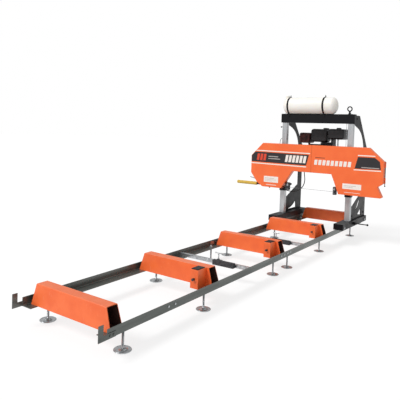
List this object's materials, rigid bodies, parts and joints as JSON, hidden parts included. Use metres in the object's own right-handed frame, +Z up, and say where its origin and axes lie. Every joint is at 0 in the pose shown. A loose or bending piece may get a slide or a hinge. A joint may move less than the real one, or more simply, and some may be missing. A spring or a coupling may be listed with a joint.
{
  "type": "portable band sawmill",
  "caption": "Portable band sawmill: a ladder track on levelling feet with log bunks, and a rolling carriage with a height-adjustable petrol saw head behind an orange two-door cover.",
  "frame": {"origin": "on the floor, in the middle of the whole sawmill", "axes": "+X to the right across the track, +Y along the track towards the saw, +Z up"},
  "size_m": [2.262, 5.335, 2.0396],
  "materials": {
    "orange_paint": "satin",
    "black_paint": "satin",
    "rail_steel": "satin",
    "zinc_steel": "satin",
    "silver_paint": "satin",
    "cast_iron": "matte",
    "engine_metal": "matte",
    "blade_steel": "satin",
    "black_rubber": "matte",
    "black_plastic": "matte",
    "white_plastic": "gloss",
    "yellow_grip": "matte",
    "muffler_steel": "matte"
  },
  "bodies": {
    "track": {"rail_right_front": "rail_steel", "rail_right_rear": "rail_steel", "rail_left_front": "rail_steel", "rail_left_rear": "rail_steel", "bunk_1": "orange_paint", "bunk_2": "orange_paint", "bunk_3": "orange_paint", "bunk_4": "orange_paint", "bunk_5": "orange_paint", "clamp_tube_1": "zinc_steel", "clamp_tube_2": "zinc_steel"},
    "side_post_1": {"side_post_1": "black_paint"},
    "side_post_2": {"side_post_2": "black_paint"},
    "side_post_3": {"side_post_3": "black_paint"},
    "log_clamp_1": {"log_clamp_1": "cast_iron"},
    "log_clamp_2": {"log_clamp_2": "cast_iron"},
    "clamp_screw_1": {"clamp_screw_1": "zinc_steel"},
    "clamp_screw_2": {"clamp_screw_2": "zinc_steel"},
    "carriage": {"base_beam_right": "black_paint", "guide_post_right": "silver_paint", "side_frame_right": "black_paint", "base_beam_left": "black_paint", "guide_post_left": "silver_paint", "side_frame_left": "black_paint", "tank_strap_1": "black_paint", "tank_strap_2": "black_paint", "top_beam": "black_paint", "water_tank": "white_plastic", "tank_cap": "white_plastic", "lift_rope": "zinc_steel"},
    "lock_lever": {"carriage_lock_lever": "black_paint"},
    "saw_head": {"head_frame": "black_paint", "back_plate": "orange_paint", "blade": "blade_steel", "drive_belt": "black_rubber", "engine_block": "engine_metal", "fuel_tank": "black_plastic", "air_cleaner": "black_plastic", "muffler": "muffler_steel", "blade_guide_fixed": "cast_iron", "push_handle": "black_paint", "handle_grip": "yellow_grip", "throttle_cable": "black_rubber", "drum_rope": "zinc_steel", "water_hose": "black_rubber"},
    "door_left": {"door_left": "orange_paint", "door_rim_left": "orange_paint"},
    "door_right": {"door_right": "orange_paint", "door_rim_right": "orange_paint"},
    "drive_wheel": {"drive_wheel": "cast_iron"},
    "idle_wheel": {"idle_wheel": "cast_iron"},
    "engine_pulley": {"engine_pulley": "cast_iron"},
    "guide_arm": {"blade_guide_arm": "cast_iron"},
    "throttle_lever": {"throttle_lever": "zinc_steel"},
    "tension_handle": {"tension_handle": "zinc_steel"},
    "lift_crank": {"lift_crank": "black_paint"},
    "track_wheel_front_right": {"track_wheel_front_right": "cast_iron"},
    "track_wheel_front_left": {"track_wheel_front_left": "cast_iron"},
    "track_wheel_rear_right": {"track_wheel_rear_right": "cast_iron"},
    "track_wheel_rear_left": {"track_wheel_rear_left": "cast_iron"}
  },
  "joints": [
    {"name": "carriage_travel", "type": "slide", "parent": "track", "child": "carriage", "axis": [0, 1, 0], "range_m": [-4.14, 0.063]},
    {"name": "head_lift", "type": "slide", "parent": "carriage", "child": "saw_head", "axis": [0, 0, 1], "range_m": [-0.3, 0.27], "deforming": ["lift_rope"]},
    {"name": "front_right_wheel_spin", "type": "hinge", "parent": "carriage", "child": "track_wheel_front_right", "pos_m": [0.568, 1.572, 0.2463], "axis": [1, 0, 0], "continuous": true},
    {"name": "front_left_wheel_spin", "type": "hinge", "parent": "carriage", "child": "track_wheel_front_left", "pos_m": [-0.306, 1.572, 0.2463], "axis": [1, 0, 0], "continuous": true},
    {"name": "rear_right_wheel_spin", "type": "hinge", "parent": "carriage", "child": "track_wheel_rear_right", "pos_m": [0.568, 2.467, 0.2463], "axis": [1, 0, 0], "continuous": true},
    {"name": "rear_left_wheel_spin", "type": "hinge", "parent": "carriage", "child": "track_wheel_rear_left", "pos_m": [-0.306, 2.467, 0.2463], "axis": [1, 0, 0], "continuous": true},
    {"name": "carriage_lock", "type": "hinge", "parent": "carriage", "child": "lock_lever", "pos_m": [0.689, 1.962, 0.2555], "axis": [0, -1, 0], "range_deg": [0, 75]},
    {"name": "left_door_hinge", "type": "hinge", "parent": "saw_head", "child": "door_left", "pos_m": [-0.83, 1.7537, 1], "axis": [0, 0, -1], "range_deg": [0, 110]},
    {"name": "right_door_hinge", "type": "hinge", "parent": "saw_head", "child": "door_right", "pos_m": [1.122, 1.7537, 1], "axis": [0, 0, 1], "range_deg": [0, 110]},
    {"name": "drive_wheel_spin", "type": "hinge", "parent": "saw_head", "child": "drive_wheel", "pos_m": [0.821, 1.719, 0.936], "axis": [0, 1, 0], "continuous": true},
    {"name": "idle_wheel_spin", "type": "hinge", "parent": "saw_head", "child": "idle_wheel", "pos_m": [-0.559, 1.719, 0.936], "axis": [0, 1, 0], "continuous": true},
    {"name": "engine_shaft_spin", "type": "hinge", "parent": "saw_head", "child": "engine_pulley", "pos_m": [0.211, 1.746, 1.236], "axis": [0, 1, 0], "continuous": true},
    {"name": "guide_arm_slide", "type": "slide", "parent": "saw_head", "child": "guide_arm", "axis": [1, 0, 0], "range_m": [0, 0.25]},
    {"name": "throttle_pivot", "type": "hinge", "parent": "saw_head", "child": "throttle_lever", "pos_m": [-0.761, 1.826, 0.752], "axis": [0, 1, 0], "range_deg": [0, 50]},
    {"name": "tension_turn", "type": "hinge", "parent": "saw_head", "child": "tension_handle", "pos_m": [-0.789, 1.852, 1.092], "axis": [1, 0, 0], "continuous": true},
    {"name": "crank_turn", "type": "hinge", "parent": "saw_head", "child": "lift_crank", "pos_m": [0.731, 1.926, 1.16], "axis": [1, 0, 0], "continuous": true},
    {"name": "side_post_1_slide", "type": "slide", "parent": "track", "child": "side_post_1", "axis": [0, 0, 1], "range_m": [0, 0.13]},
    {"name": "side_post_2_slide", "type": "slide", "parent": "track", "child": "side_post_2", "axis": [0, 0, 1], "range_m": [0, 0.13]},
    {"name": "side_post_3_slide", "type": "slide", "parent": "track", "child": "side_post_3", "axis": [0, 0, 1], "range_m": [0, 0.13]},
    {"name": "log_clamp_1_slide", "type": "slide", "parent": "track", "child": "log_clamp_1", "axis": [1, 0, 0], "range_m": [-0.35, 0.17]},
    {"name": "clamp_screw_1_turn", "type": "hinge", "parent": "log_clamp_1", "child": "clamp_screw_1", "pos_m": [0.175, -0.712, 0.22], "axis": [0, 0, 1], "continuous": true},
    {"name": "log_clamp_2_slide", "type": "slide", "parent": "track", "child": "log_clamp_2", "axis": [1, 0, 0], "range_m": [-0.35, 0.17]},
    {"name": "clamp_screw_2_turn", "type": "hinge", "parent": "log_clamp_2", "child": "clamp_screw_2", "pos_m": [0.175, 0.566, 0.22], "axis": [0, 0, 1], "continuous": true}
  ],
  "couplings": [
    {"joint": "front_right_wheel_spin", "follows": "carriage_travel", "rad_per_m": -30.96},
    {"joint": "front_left_wheel_spin", "follows": "carriage_travel", "rad_per_m": -30.96},
    {"joint": "rear_right_wheel_spin", "follows": "carriage_travel", "rad_per_m": -30.96},
    {"joint": "rear_left_wheel_spin", "follows": "carriage_travel", "rad_per_m": -30.96},
    {"joint": "idle_wheel_spin", "follows": "drive_wheel_spin", "ratio": 1},
    {"joint": "engine_shaft_spin", "follows": "drive_wheel_spin", "ratio": 2.5652},
    {"joint": "crank_turn", "follows": "head_lift", "rad_per_m": 34.13}
  ]
}
